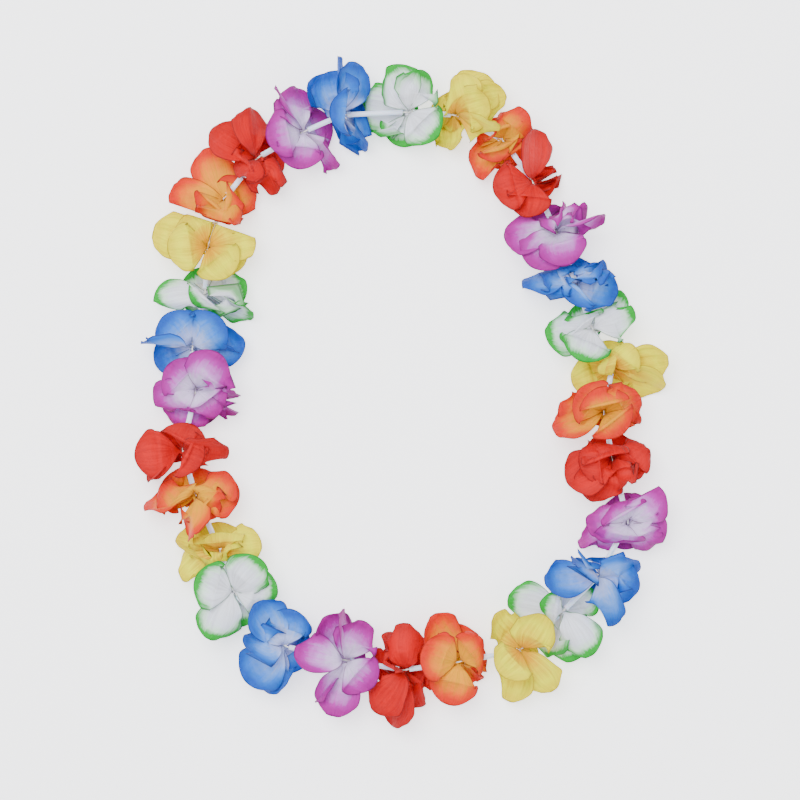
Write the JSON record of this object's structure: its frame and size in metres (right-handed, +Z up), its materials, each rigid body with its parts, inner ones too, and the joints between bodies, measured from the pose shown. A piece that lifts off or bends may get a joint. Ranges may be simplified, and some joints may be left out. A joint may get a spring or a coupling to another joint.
{
  "type": "artificial flower lei",
  "caption": "Long garland of dyed silk flowers threaded on a cord loop with short plastic straws between them, laid flat as a ring.",
  "frame": {"origin": "centre of the ring's bounding box, on the surface that the lei lies on", "axes": "+Z up from that surface, +Y along the ring's long way towards its narrower end, +X across it"},
  "size_m": [0.34, 0.428, 0.0408],
  "materials": {
    "blue_silk": "thin dyed polyester cloth, matt with a slight sheen",
    "green_silk": "thin dyed polyester cloth, matt with a slight sheen",
    "yellow_silk": "thin dyed polyester cloth, matt with a slight sheen",
    "orange_silk": "thin dyed polyester cloth, matt with a slight sheen",
    "red_silk": "thin dyed polyester cloth, matt with a slight sheen",
    "purple_silk": "thin dyed polyester cloth, matt with a slight sheen",
    "straw_plastic": "thin white drinking straw, satin",
    "thread_cotton": "white cotton thread"
  },
  "bodies": {
    "root": {"flower_01_blue": "blue_silk", "straw_01": "straw_plastic", "flower_02_green": "green_silk", "straw_02": "straw_plastic", "flower_03_yellow": "yellow_silk", "straw_03": "straw_plastic", "flower_04_orange": "orange_silk", "straw_04": "straw_plastic", "flower_05_red": "red_silk", "straw_05": "straw_plastic", "flower_06_purple": "purple_silk", "straw_06": "straw_plastic", "flower_07_blue": "blue_silk", "straw_07": "straw_plastic", "flower_08_green": "green_silk", "straw_08": "straw_plastic", "flower_09_yellow": "yellow_silk", "straw_09": "straw_plastic", "flower_10_orange": "orange_silk", "straw_10": "straw_plastic", "flower_11_red": "red_silk", "straw_11": "straw_plastic", "flower_12_purple": "purple_silk", "straw_12": "straw_plastic", "flower_13_blue": "blue_silk", "straw_13": "straw_plastic", "flower_14_green": "green_silk", "straw_14": "straw_plastic", "flower_15_yellow": "yellow_silk", "straw_15": "straw_plastic", "flower_16_orange": "orange_silk", "straw_16": "straw_plastic", "flower_17_red": "red_silk", "straw_17": "straw_plastic", "flower_18_purple": "purple_silk", "straw_18": "straw_plastic", "flower_19_blue": "blue_silk", "straw_19": "straw_plastic", "flower_20_green": "green_silk", "straw_20": "straw_plastic", "flower_21_yellow": "yellow_silk", "straw_21": "straw_plastic", "flower_22_orange": "orange_silk", "straw_22": "straw_plastic", "flower_23_red": "red_silk", "straw_23": "straw_plastic", "flower_24_purple": "purple_silk", "straw_24": "straw_plastic", "flower_25_blue": "blue_silk", "straw_25": "straw_plastic", "flower_26_green": "green_silk", "straw_26": "straw_plastic", "flower_27_yellow": "yellow_silk", "flower_28_orange": "orange_silk", "straw_28": "straw_plastic", "flower_29_red": "red_silk", "straw_29": "straw_plastic", "flower_30_purple": "purple_silk", "straw_30": "straw_plastic", "thread": "thread_cotton"}
  },
  "joints": []
}
